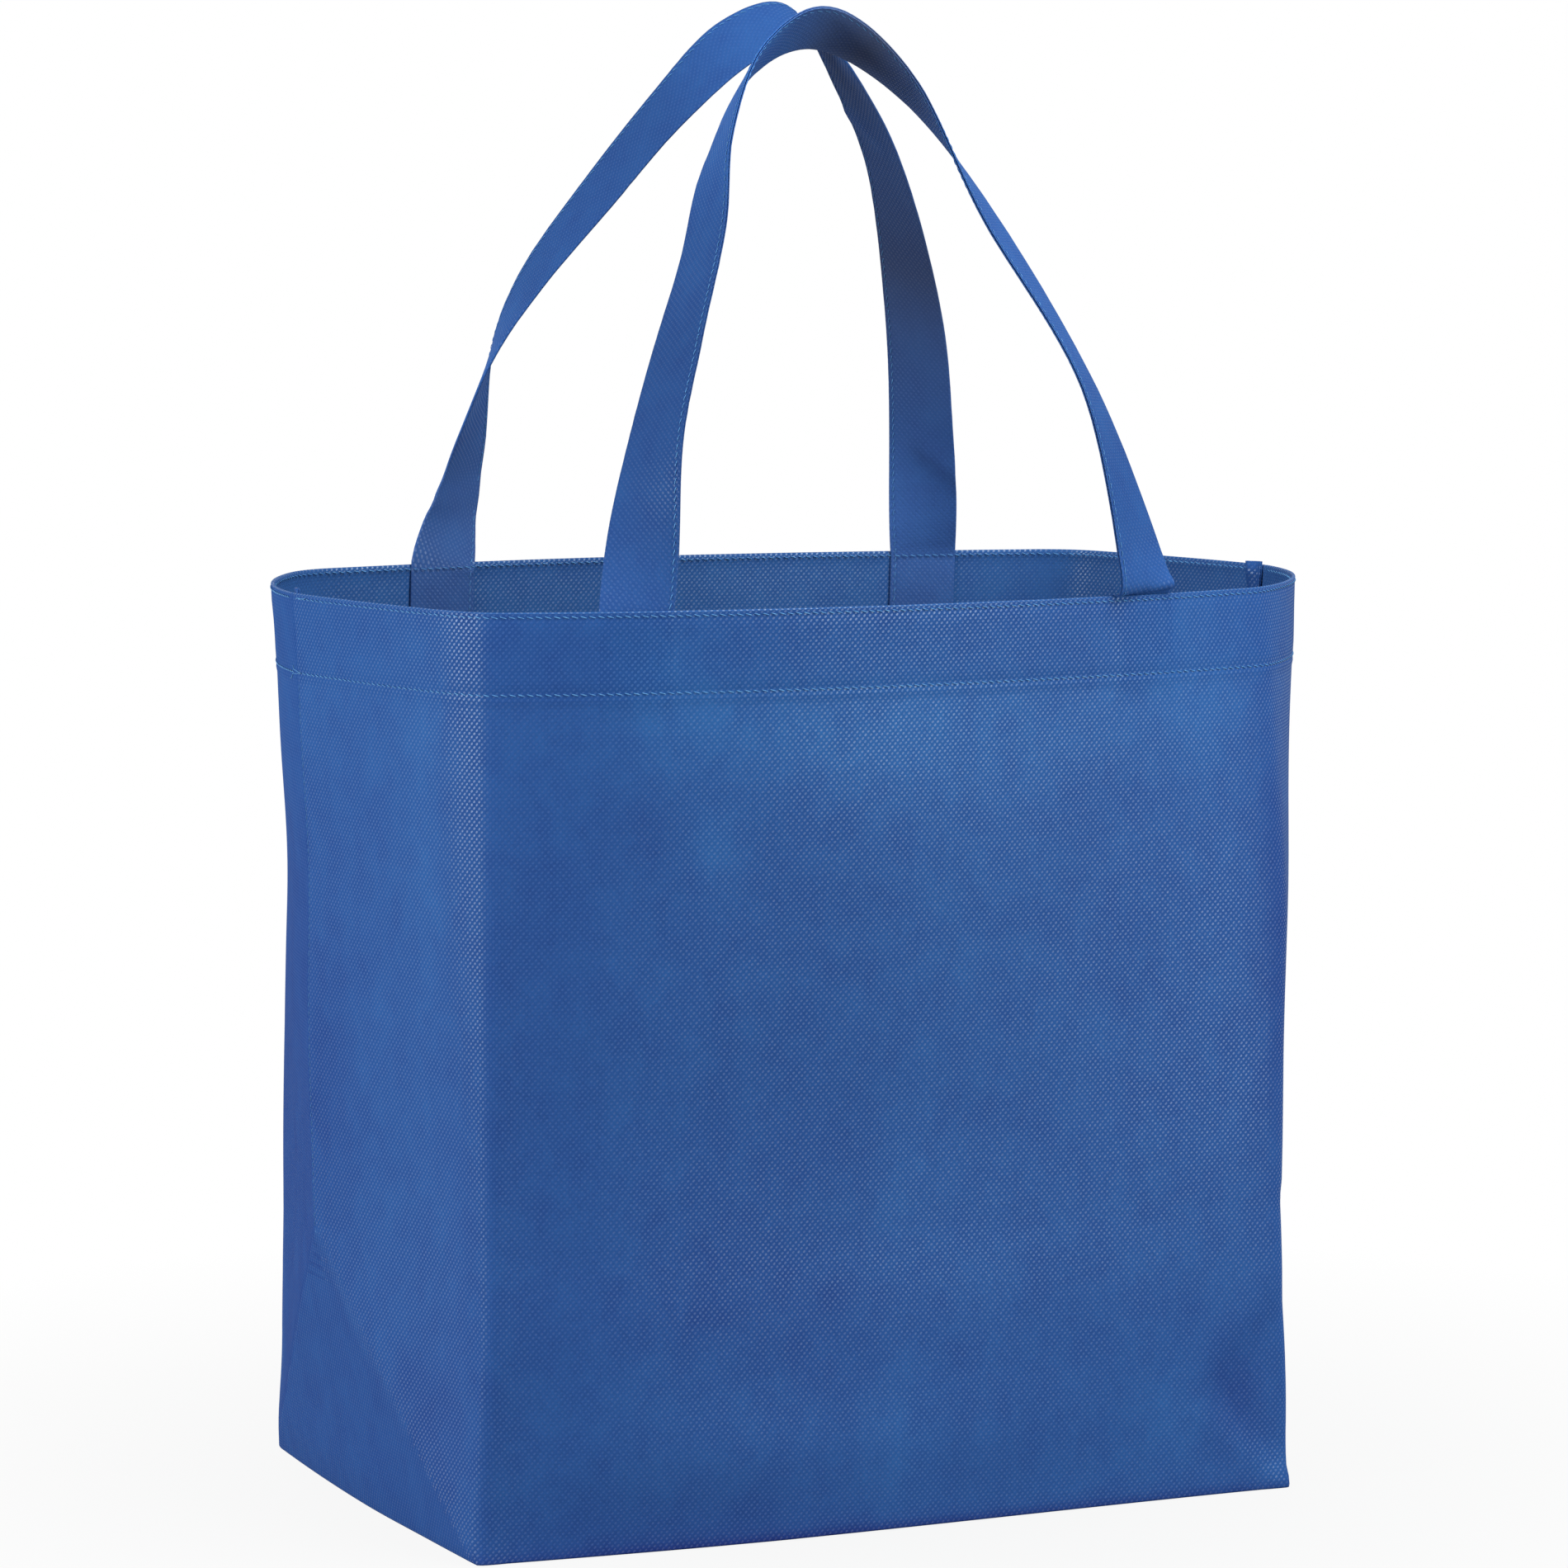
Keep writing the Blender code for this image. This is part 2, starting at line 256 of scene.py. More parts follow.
def corner_dent(s, z, side):
    """The flattened facet at the foot of the right front corner."""
    if side > 0:
        return 0.0
    in_from = HALF_ROUND - HALF_SIDE - s
    reach = 0.036 * math.exp(-((z - 0.036) / 0.030) ** 2)
    if reach < 1e-4 or in_from < -0.03:
        return 0.0
    within = ease(reach - in_from, -0.003, 0.016) * ease(in_from, -0.028, 0.0)
    return -0.0013 * float(within * ease(z, 0.0, 0.010))


def corner_crease(s, z, side):
    """1 on the short crease that runs up and inwards from the right front corner's foot."""
    if side > 0:
        return 0.0
    start, end = Vector((0.411, 0.003)), Vector((0.377, 0.030))
    run = end - start
    share = min(max((Vector((s, z)) - start).dot(run) / run.length_squared, 0.0), 1.0)
    away = (Vector((s, z)) - start - run * share).length
    return math.exp(-(away / 0.0034) ** 2)


def fold_step(z):
    """How clearly the gusset's folded edge stands out; it fades towards its upper end."""
    return 1 - float(ease(z, 0.030, 0.085))


def over_foot(s, z, soft):
    """1 where a strap's foot lies behind the hem, with its upper end eased over soft."""
    across = abs(abs(s - HALF_ROUND / 2) - FOOT_OFFSET) - STRAP_WIDTH / 2
    low_end = HEIGHT - STRAP_TAIL
    return (1 - float(ease(across, -0.0006, 0.0006))) * float(ease(z, low_end - soft, low_end + soft))


def wall_offset(s, z, side):
    """Middle of the sheet from the plain outer plan: hem, stitch lines, seam, ears, waves."""
    seam = min(s, HALF_ROUND - s)
    off = -SHEET / 2 + swell(s, z, side) + corner_dent(s, z, side) + belly(s, z, side)
    off += 0.0005 * corner_crease(s, z, side)
    off += 0.0003 * float(ease(z, HEIGHT - HEM - 0.0007, HEIGHT - HEM + 0.0007))
    for row in (STITCH_TOP, STITCH_LOW):
        off -= 0.00030 * math.exp(-((z - HEIGHT + row) / 0.0010) ** 2)
    above = (seam + z - HALF_SIDE) / math.sqrt(2)
    if seam < HALF_SIDE + 0.01 and z < HALF_SIDE + 0.02:
        off += (0.00030 if side < 0 else 0.00008) * bump_at(above, 0.004, 0.006) * fold_step(z)
    off -= 0.0004 * math.exp(-(seam / 0.0007) ** 2) * float(ease(z, HALF_SIDE - 0.012, HALF_SIDE + 0.004))
    return off + STRAP_CLEAR * over_foot(s, z, 0.001)


def layers_at(s, z):
    """How much darker the sheet reads where layers lie behind it: 1 for the hem."""
    hem = float(ease(z, HEIGHT - HEM - 0.0008, HEIGHT - HEM + 0.0008))
    return hem + over_foot(s, z, 0.0008)


# painted light and shade on the front half, as soft patches: (along the half ring, height, spread along,
# spread up, brighter by)
FRONT_PAINTED_LIGHT = (
    (0.262, 0.279, 0.085, 0.022, 0.30),
    (0.375, 0.297, 0.030, 0.028, 0.24),
    (0.188, 0.284, 0.016, 0.010, 0.14),
    (0.285, 0.215, 0.035, 0.055, 0.10),
    (0.262, 0.125, 0.010, 0.030, 0.12),
    (0.290, 0.100, 0.012, 0.025, 0.08),
    (0.262, 0.026, 0.014, 0.022, 0.14),
    (0.335, 0.168, 0.012, 0.016, 0.09),
    (0.366, 0.030, 0.012, 0.016, 0.16),
    (0.250, 0.300, 0.060, 0.014, 0.10),
    (0.120, 0.165, 0.034, 0.160, -0.09),
    (0.163, 0.252, 0.012, 0.012, -0.10),
    (0.200, 0.082, 0.060, 0.018, -0.14),
    (0.180, 0.004, 0.065, 0.018, -0.18),
    (0.392, 0.034, 0.013, 0.022, -0.24),
    (0.215, 0.135, 0.035, 0.030, -0.07),
    (0.187, 0.245, 0.010, 0.014, 0.24),
    (0.163, 0.300, 0.012, 0.022, 0.18),
    (0.212, 0.286, 0.010, 0.012, 0.10),
    (0.075, 0.050, 0.030, 0.030, -0.10),
    (0.412, 0.200, 0.012, 0.080, -0.26),
    (0.180, 0.300, 0.014, 0.020, 0.18),
    (0.384, 0.275, 0.010, 0.020, 0.10),
    (0.190, 0.105, 0.030, 0.020, -0.09),
    (0.225, 0.055, 0.020, 0.020, -0.10),
    (0.078, 0.250, 0.014, 0.070, 0.15),
    (0.010, 0.150, 0.022, 0.070, -0.20),
    (0.262, 0.000, 0.200, 0.0035, -0.50),
)


def painted_light_at(s, z, side):
    """Painted light and shade as broad soft patches; the fine clouds of the web are in the material."""
    if side < 0:
        web = 0.0
        for at, up, wide, high, more in FRONT_PAINTED_LIGHT:
            web += more * math.exp(-((s - at) / wide) ** 2 - ((z - up) / high) ** 2)
        end = float(1 - ease(s, 0.085, 0.098))
        # a painted highlight along the short crease at the right front corner's foot
        web += 0.10 * corner_crease(s, z, side)
        # painted light high up and painted shade low down on the front half of the left end
        web += end * (0.08 * bump_at(z, 0.30, 0.03) - 0.10 * float(1 - ease(z, 0.02, 0.10)))
        return web
    # painted shade on the back half of the left end, fading out towards the rim, and a little random tone
    # over the back
    behind = -0.26 + 0.24 * float(ease(z, 0.19, 0.30))
    return behind * float(1 - ease(s, 0.080, 0.110)) + 0.06 * noise.noise(Vector((s * 14, z * 12, 3.3)))


def shine_at(s, z, side):
    """How much the dots catch the light: the rubbed back half of each end hardly does."""
    if side > 0:
        return 0.15 + 0.65 * float(ease(s, 0.080, 0.120)) * float(ease(HALF_ROUND - s, 0.080, 0.120))
    near_crease = 0.16 * bump_at(s, 0.084, 0.030) + 0.22 * bump_at(s, 0.084, 0.016) * bump_at(z, 0.022, 0.020)
    above = (s + z - HALF_SIDE) / math.sqrt(2)
    ridge = 0.35 * bump_at(above, 0.003, 0.006) * fold_step(z)
    dull_left = 0.35 * bump_at(s, 0.135, 0.026)
    dull_low = 0.12 * (1 - float(ease(z, 0.05, 0.20))) * float(ease(s, 0.11, 0.13))
    middle = 0.50 * float(ease(s, 0.15, 0.22)) * float(ease(z, 0.05, 0.12))
    bright_top = 0.35 * float(ease(z, 0.24, 0.28)) * float(ease(s, 0.20, 0.24))
    low_end = 0.25 * float((1 - ease(z, 0.08, 0.16)) * (1 - ease(s, 0.095, 0.103)))
    hem = 0.25 * float(ease(z, HEIGHT - HEM - 0.002, HEIGHT - HEM + 0.002) * ease(s, 0.15, 0.20))
    return 1.0 + near_crease + ridge + low_end - dull_left - dull_low + middle + bright_top - hem


def place(x, y, z):
    return Vector((x + CENTRE[0], y + CENTRE[1], z))


class Sheet:
    """Points of a sheet with their flat places and looks, and the quads between them."""

    LOOKS = ("layers", "web", "shine", "grey")

    def __init__(self):
        self.points = []
        self.flat = []
        self.looks = []
        self.quads = []

    def add(self, point, u, v, layers=0.0, web=0.0, shine=1.0, grey=0.0):
        self.points.append(point)
        self.flat.append((u, v))
        self.looks.append((layers, web, shine, grey))
        return len(self.points) - 1

    def weave(self, rows, turned=False):
        for low, high in zip(rows, rows[1:]):
            for a, b, c, d in zip(low, low[1:], high[1:], high):
                quad = (a, b, c, d)
                self.quads.append(quad[::-1] if turned else quad)

    def make(self, name, material):
        mesh = bpy.data.meshes.new(name)
        mesh.from_pydata([tuple(p) for p in self.points], [], self.quads)
        layer = mesh.uv_layers.new(name="flat")
        for loop in mesh.loops:
            layer.data[loop.index].uv = self.flat[loop.vertex_index]
        for look, values in zip(self.LOOKS, zip(*self.looks)):
            mesh.attributes.new(look, "FLOAT", "POINT").data.foreach_set("value", values)
        mesh.materials.append(material)
        mesh.shade_smooth()
        obj = bpy.data.objects.new(name, mesh)
        bpy.context.scene.collection.objects.link(obj)
        return obj


def apply_modifier(obj, kind, **settings):
    mod = obj.modifiers.new(kind.title(), kind)
    for key, value in settings.items():
        setattr(mod, key, value)
    bpy.context.view_layer.objects.active = obj
    obj.select_set(True)
    bpy.ops.object.modifier_apply(modifier=mod.name)
    obj.select_set(False)


# the bag's body
def body_columns():
    middle = HALF_ROUND / 2
    seam = [0, 0.0006, 0.0013, 0.0024]
    corner = [HALF_SIDE + d for d in (-0.0045, -0.0024, -0.0010, 0, 0.0010, 0.0024, 0.0045)]
    feet = []
    for sign in (-1, 1):
        for edge in (-1, 1):
            at = middle + sign * FOOT_OFFSET + edge * STRAP_WIDTH / 2
            feet += [at - 0.0006, at + 0.0006]
    stops = seam + corner + [f for f in sorted(feet) if f < middle] + [middle]
    stops = stops + [HALF_ROUND - s for s in reversed(stops[:-1])]
    return spaced(stops, 0.0034)


def body_rows():
    top = HEIGHT - 0.0007
    stops = [0.0012, 0.0040, 0.012, HALF_SIDE, HEIGHT - STRAP_TAIL - 0.0008, HEIGHT - STRAP_TAIL + 0.0008]
    stops += [HEIGHT - HEM - 0.0008, HEIGHT - HEM + 0.0008]
    stops += [HEIGHT - STITCH_LOW + d for d in (-0.0010, 0, 0.0010)]
    stops += [HEIGHT - STITCH_TOP + d for d in (-0.0010, 0)] + [top]
    return spaced(stops, 0.0040)


# on the inner hem, the web value is painted light and the grey value is painted shade
HEM_LOOKS = (0.1, 0.26, 1.9, 0.10)   # of the hem's inner layer: layers, web, shine, grey


def make_body(material):
    sheet = Sheet()
    columns = body_columns()
    heights = body_rows()
    rings = {-1: [], 1: []}
    for side in (-1, 1):
        under = [(BOTTOM_TURN * (1 - math.cos(f)), BOTTOM_TURN * (1 - math.sin(f))) for f in TURN_ANGLES]
        for z, tuck in under + [(z, 0.0) for z in heights]:
            px, py, nx, ny = wall_at(z, columns, side)
            row = []
            for k, s in enumerate(columns):
                seam = min(s, HALF_ROUND - s)
                on_panel = float(ease(seam, HALF_SIDE - 0.003, HALF_SIDE))
                level = z if on_panel > 0.99 else max(z, 0.0010)
                if level < SHEET / 2:
                    level = SHEET / 2
                off = wall_offset(s, z, side) - tuck * on_panel
                x, y = px[k] + nx[k] * off, py[k] + ny[k] * off
                looks = (layers_at(s, z), painted_light_at(s, z, side), shine_at(s, z, side))
                row.append(sheet.add(place(x, y, level + droop(x, z)), side * s, z, *looks))
            rings[side].append(row)
        # over the rim and down the inside
        folds = []
        for f in (0.45, 1.0, 1.5708, 2.14, 2.69, math.pi):
            folds.append((RIM_TURN * (1 - math.cos(f)), HEIGHT - 0.0007 + RIM_TURN * math.sin(f), 0.0))
        for z in reversed([h for h in heights if h > HEIGHT - HEM - 0.001][:-1]):
            folds.append((HEM_INSIDE, z, HEIGHT - z))
        for depth, z, down in folds:
            px, py, nx, ny = wall_at(min(z, HEIGHT), columns, side)
            row = []
            for k, s in enumerate(columns):
                off = wall_offset(s, min(z, HEIGHT - 0.0007), side) - depth
                x, y = px[k] + nx[k] * off, py[k] + ny[k] * off
                inner = sheet.add(place(x, y, z + droop(x, z)), side * s, HEIGHT + down, *HEM_LOOKS)
                row.append(inner)
            rings[side].append(row)
        sheet.weave(rings[side], turned=side > 0)
    # front and back meet at the seams, and the bottom hangs between them
    first = columns.index(min(columns, key=lambda c: abs(c - HALF_SIDE)))
    last = len(columns) - 1 - first
    edge = (0.0, 0.0015, 0.004, 0.008)
    shares = spaced([*edge, *[1 - e for e in reversed(edge)]], 1 / 62)
    lines = []
    for t in shares:
        line = []
        for k in range(first, last + 1):
            a = sheet.points[rings[-1][0][k]]
            b = sheet.points[rings[1][0][k]]
            if t == 0:
                line.append(rings[-1][0][k])
            elif t == 1:
                line.append(rings[1][0][k])
            else:
                p = a.lerp(b, t)
                bulge = belly(abs(1 - 2 * t) * HALF_SIDE * 0.999, 0.0, -1)
                p.x -= bulge * (1 - float(ease(k - first, 0, 8)))
                p.x += bulge * (1 - float(ease(last - k, 0, 8)))
                line.append(sheet.add(p, p.x, p.y - 0.2))
        lines.append(line)
    sheet.weave(lines, turned=True)
    for right in (False, True):
        add_gusset_end(sheet, [line[-1] if right else line[0] for line in lines], right, shares)
        add_seam_flap(sheet, right)
    bag = sheet.make("bag_body_sheet", material)
    apply_modifier(bag, "WELD", merge_threshold=0.00004)
    apply_modifier(bag, "SOLIDIFY", thickness=CLOTH, offset=0.0)
    return bag


def add_gusset_end(sheet, base_line, right, shares):
    """The folded-up end of the bottom: a triangle outside, its corners folded back under it."""
    sign = 1 if right else -1
    fold = 0.00018
    rows = [base_line]
    under = [(BOTTOM_TURN * (1 - math.cos(f)), BOTTOM_TURN * (1 - math.sin(f))) for f in TURN_ANGLES[1:]]
    heights = spaced([BOTTOM_TURN, 0.02, HALF_SIDE - 0.004, HALF_SIDE - 0.0012], 0.0042)
    hidden = {-1: [], 1: []}
    for z, tuck in under + [(h, 0.0) for h in heights]:
        x0 = seam_places(z)[1 if right else 0]
        half = HALF_SIDE - z
        row = []
        for t in shares:
            y = half * (2 * t - 1)
            s = abs(y) if not right else HALF_ROUND - abs(y)
            # the panel's turned edge laps over the triangle's edge
            inwards = (half - abs(y)) / math.sqrt(2)
            lap = 0.0001 * fold_step(z) - 0.00022 * (1 - float(ease(inwards, 0.0, 0.0014)))
            out = -0.00025 + lap + swell(s, z, -1 if y < 0 else 1) + belly(s, z, -1) - tuck
            x = x0 + sign * out + float(lean(s, z, -1 if y < 0 else 1))
            level = max(z, SHEET / 2)
            blend = float((1 - ease(inwards, 0.0, 0.014)) * ease(z, 0.02, 0.07) * ease(-y, 0.0, 0.010))
            # painted shade on the folded-up triangle, with less of it along its front edge above the foot
            web = -0.14 + 0.10 * blend
            shine = 0.38 + 0.45 * blend
            row.append(sheet.add(place(x, y, level + droop(x, z)), 0.2 + y, 0.6 + z, 0.0, web, shine))
        rows.append(row)
        for side in (-1, 1):
            edge = row[0] if side < 0 else row[-1]
            line = [edge]
            p = sheet.points[edge]
            for f in (0.8, 1.5708, 2.3, math.pi):
                q = p + Vector((-sign * fold * (1 - math.cos(f)), side * fold * math.sin(f), 0))
                line.append(sheet.add(q, 0.2 + side * (half + fold * f), 0.6 + z))
            for back in (0.004, 0.010):
                q = p + Vector((-sign * 2 * fold, -side * min(back, half), 0))
                line.append(sheet.add(q, 0.2 + side * (half + back), 0.6 + z))
            hidden[side].append(line)
    sheet.weave(rows, turned=not right)
    for side in (-1, 1):
        sheet.weave(hidden[side], turned=(side < 0) == right)


def add_seam_flap(sheet, right):
    """The two layers of seam allowance inside, pressed towards the back."""
    columns = spaced([0.0004, SEAM_FLAP], 0.0013)
    heights = spaced([HALF_SIDE - 0.01, HEIGHT - HEM, HEIGHT + 0.0012], 0.006)
    for layer in (0, 1):
        rows = []
        for z in heights:
            hem = float(ease(z, HEIGHT - HEM - 0.001, HEIGHT - HEM + 0.001))
            places = [HALF_ROUND - c if right else c for c in columns]
            px, py, nx, ny = wall_at(min(z, HEIGHT), places, 1)
            row = []
            for k, (c, s) in enumerate(zip(columns, places)):
                rise = 0.0012 * float(ease(c, 0.002, SEAM_FLAP)) * float(ease(z, HEIGHT - 0.012, HEIGHT))
                depth = HEM_INSIDE + 0.0006 * layer + 0.0009 * hem + rise * (2 if right else 1)
                off = wall_offset(s, min(z, HEIGHT - 0.0007), 1) - depth
                x, y = px[k] + nx[k] * off, py[k] + ny[k] * off
                row.append(sheet.add(place(x, y, z + droop(x, z)), 2.0 + c + layer, z, 0.4))
            rows.append(row)
        sheet.weave(rows, turned=right)


# the straps
FRONT_STATIONS = (
    (-89, -102, 0.255, -63, 3),
    (-73, -85, 0.445, -68, 16),
    (-55, -65, 0.620, -71, 27),
    (-45, -56, 0.790, -86, 32),
    (-27, -46, 0.940, -95, 31),
    (0, -42, 1.000, -98, 34),
    (30, -49, 0.890, -109, 22),
    (54, -66, 0.660, -132, 10),
    (80, -91, 0.365, -129, 8),
    (93, -107, 0.055, -154, 3),
)
BACK_STATIONS = (
    (-79, 109, 0.165, 44, -21),
    (-77, 88, 0.370, 68, 1),
    (-65, 77, 0.525, 85, 12),
    (-42, 66, 0.695, 91, 22),
    (-19, 54, 0.855, 90, 31),
    (7, 50, 0.980, 95, 38),
    (31, 46, 1.010, 97, 26),
    (55, 55, 0.875, 105, 20),
    (74, 66, 0.710, 107, 18),
    (92, 84, 0.450, 125, 9),
    (100, 95, 0.210, 138, 2),
)
STATION_STEPS = 12


def curve_value(values, t):
    """Smooth curve through the given values, one per whole number of t."""
    k = min(max(int(t), 0), len(values) - 2)
    f = t - k
    p1, p2 = values[k], values[k + 1]
    p0 = values[k - 1] if k else 2 * p1 - p2
    p3 = values[k + 2] if k + 2 < len(values) else 2 * p2 - p1
    a = 2 * p1 + (p2 - p0) * f
    b = (2 * p0 - 5 * p1 + 4 * p2 - p3) * f * f
    c = (3 * p1 - p0 - 3 * p2 + p3) * f * f * f
    return 0.5 * (a + b + c)


def foot_frames(sign, side, levels):
    """Middle, width direction and outward direction of a strap's foot on the hem."""
    middle = HALF_ROUND / 2
    s = middle + sign * FOOT_OFFSET
    out = []
    for z in levels:
        edges = [s - STRAP_WIDTH / 2, s, s + STRAP_WIDTH / 2]
        px, py, nx, ny = wall_at(z, edges, side)
        pts = []
        for k in range(3):
            off = wall_offset(edges[k], min(z, HEIGHT - 0.003), side) - HEM_INSIDE - SHEET / 2
            off -= STRAP_CLEAR + STRAP_THICK / 2
            x, y = px[k] + nx[k] * off, py[k] + ny[k] * off
            pts.append(Vector((x, y, z + droop(x, z))))
        wide = (pts[2] - pts[0]).normalized()
        # from the plain edge to the stitched edge, which is nearer the bag's middle
        if sign > 0:
            wide = -wide
        out.append((pts[1], wide))
    return out


def strap_frames(stations, side):
    """Middle points and width directions along a strap, from its left tail to its right."""
    tails = spaced([HEIGHT - STRAP_TAIL, HEIGHT - 0.001], 0.003)
    left = foot_frames(-1, side, tails)
    right = foot_frames(1, side, tails[::-1])

    def knot(frame):
        p, w = frame
        return [p.x, p.y, p.z, math.degrees(math.atan2(w.y, w.x)), 0.0]

    knots = [knot(left[-1])]
    for x, y, up, heading, rise in stations:
        z = HEIGHT + up * STRAP_RISE
        knots.append([x / 1000, y / 1000, z + droop(x / 1000, HEIGHT), heading, rise])
    last = knot(right[0])
    if last[3] > 0 and side < 0:
        last[3] -= 360
    knots.append(last)
    tracks = list(zip(*knots))
    total = (len(knots) - 1) * STATION_STEPS
    centres, widths = [], []
    for k in range(1, total):
        x, y, z, heading, rise = (curve_value(track, k / STATION_STEPS) for track in tracks)
        h, r = math.radians(heading), math.radians(rise)
        centres.append(Vector((x, y, z)))
        widths.append(Vector((math.cos(h) * math.cos(r), math.sin(h) * math.cos(r), math.sin(r))))
    line = [left[-1][0]] + centres + [right[0][0]]
    frames = list(left)
    for k, w in enumerate(widths):
        along = (line[k + 2] - line[k]).normalized()
        frames.append((centres[k], (w - along * w.dot(along)).normalized()))
    return frames + list(right)


def strap_profile():
    """Middle line of the folded strip's section: (across, out) from edge to edge by way of the fold."""
    half, edge = STRAP_WIDTH / 2, STRAP_WIDTH / 2 - STRAP_STITCH
    upper = [(half, 0.00034), (half - 0.0004, 0.00030), (edge + 0.0004, 0.00027), (edge, 0.00024)]
    upper += [(edge - 0.0006, 0.00028), (edge - 0.0018, 0.00036), (half * 0.5, 0.00040), (0, 0.00040)]
    upper += [(-half * 0.4, 0.00040), (-half * 0.75, 0.00038), (-half + 0.0012, 0.00036)]
    upper += [(-half + 0.0004, 0.00034)]
    fold = []
    for f in (0.52, 1.05, 1.5708, 2.09, 2.62):
        fold.append((-half + 0.0004 - 0.00034 * math.sin(f), 0.00034 * math.cos(f)))
    return upper + fold + [(x, -y) for x, y in reversed(upper)]


# painted light and shade along each strap: (from the left tail, brighter by)
FRONT_STRAP_PAINTED_LIGHT = (
    (0.0, 0.05), (0.03, 0.0), (0.055, -0.20), (0.13, -0.28), (0.18, -0.08), (0.245, 0.55),
    (0.263, 0.55), (0.277, 1.0), (0.294, 0.45), (0.314, 0.08), (0.32, 0.05), (0.36, 0.10),
    (0.42, 0.08), (0.455, -0.12), (0.49, -0.12), (0.51, 0.10), (0.55, 0.10),
)
BACK_STRAP_PAINTED_LIGHT = (
    (0.0, 0.20), (0.045, 0.25), (0.065, 0.35), (0.10, 0.42), (0.15, -0.06), (0.23, -0.15),
    (0.285, 0.10), (0.315, -0.02), (0.36, -0.02), (0.40, -0.16), (0.43, 0.12), (0.47, 0.06),
    (0.505, 0.55), (0.54, 0.15), (0.56, 0.10),
)

# the same for the grey cast in the shadow under the arch
FRONT_STRAP_GREY = (
    (0.25, 0.0), (0.263, 0.25), (0.277, 0.75), (0.294, 1.0), (0.314, 0.5), (0.335, 0.0),
)
BACK_STRAP_GREY = (
    (0.00, 0.25), (0.07, 0.35), (0.095, 0.2), (0.12, 0.0), (0.300, 0.0), (0.323, 0.5),
    (0.345, 0.35), (0.372, 0.5), (0.407, 0.75), (0.441, 0.4), (0.47, 0.25), (0.53, 0.25),
)

# slanting dents of the back strap, with painted shade in them (painted light where it is negative):
# (from the left tail, slope, spread, depth, darker by, across from, to)
BACK_STRAP_DENTS = (
    (0.058, 0.43, 0.0040, 0.0007, 0.10, -0.020, 0.020),
    (0.480, -0.71, 0.0045, 0.0009, 0.30, -0.020, 0.004),
    (0.352, -0.90, 0.0035, 0.0006, -0.20, -0.002, 0.020),
)


def strap_dent(dents, t, across):
    """Depth of the dents at a place on a strap, and the painted shade there."""
    depth, darker = 0.0, 0.0
    for at, slope, spread, deep, dark, first, last in dents:
        here = bump_at(t, at + slope * across, spread)
        here *= float(ease(across, first - 0.004, first + 0.004))
        here *= 1 - float(ease(across, last - 0.004, last + 0.004))
        depth += deep * here
        darker += dark * here
    return depth, darker


def strap_body(frames, name, material, painted_light_along, grey_along, dents):
    """The strip folded in two; returns the piece and its frames with their normals."""
    profile = strap_profile()
    sheet = Sheet()
    full = []
    travelled = 0.0
    for k, (p, w) in enumerate(frames):
        before = frames[max(k - 1, 0)][0]
        after = frames[min(k + 1, len(frames) - 1)][0]
        along = (after - before).normalized()
        w = (w - along * w.dot(along)).normalized()
        n = along.cross(w).normalized()
        if k:
            travelled += (p - frames[k - 1][0]).length
        full.append((p, w, n, along, travelled))
    rows = []
    for p, w, n, along, t in full:
        row = []
        run = 0.0
        for k, (across, out) in enumerate(profile):
            if k:
                run += math.hypot(across - profile[k - 1][0], out - profile[k - 1][1])
            ripple = 0.00012 * noise.noise(Vector((t * 260, across * 90, 5.0)))
            depth, darker = strap_dent(dents, t, across)
            # painted light and shade along the strap, less the painted shade of its dents
            web = float(np.interp(t, *zip(*painted_light_along))) - darker
            to_foot = min(t, full[-1][4] - t) - STRAP_TAIL
            shine = 2.0 - float(ease(to_foot, 0.018, 0.032))
            grey = float(np.interp(t, *zip(*grey_along)))
            point = p + w * across + n * (out + ripple - depth)
            row.append(sheet.add(point, run, t, 0.0, web, shine, grey))
        rows.append(row)
    sheet.weave(rows, turned=True)
    strip = sheet.make(name, material)
    apply_modifier(strip, "SOLIDIFY", thickness=CLOTH, offset=0.0)
    return strip, full


# the thread
# how a stitch rises and thickens along itself: (share of its length, height, thickness)
STITCH_SHAPE = (
    (0, 0.00002, 0.5),
    (0.15, 0.00018, 0.9),
    (0.5, 0.00024, 1.0),
    (0.85, 0.00018, 0.9),
    (1, 0.00002, 0.5),
)
STITCH_AROUND = (0, 1.05, 2.09, 3.14, 4.71)


def add_tube(rings, piece):
    """Faces that join rings of five points into a closed tube."""
    points, faces = piece
    base = len(points)
    for ring in rings:
        points.extend(ring)
    for k in range(len(rings) - 1):
        for i in range(5):
            j = (i + 1) % 5
            faces.append((base + 5 * k + i, base + 5 * k + j, base + 5 * k + 5 + j, base + 5 * k + 5 + i))
    faces.append(tuple(base + i for i in range(4, -1, -1)))
    faces.append(tuple(base + 5 * (len(rings) - 1) + i for i in range(5)))


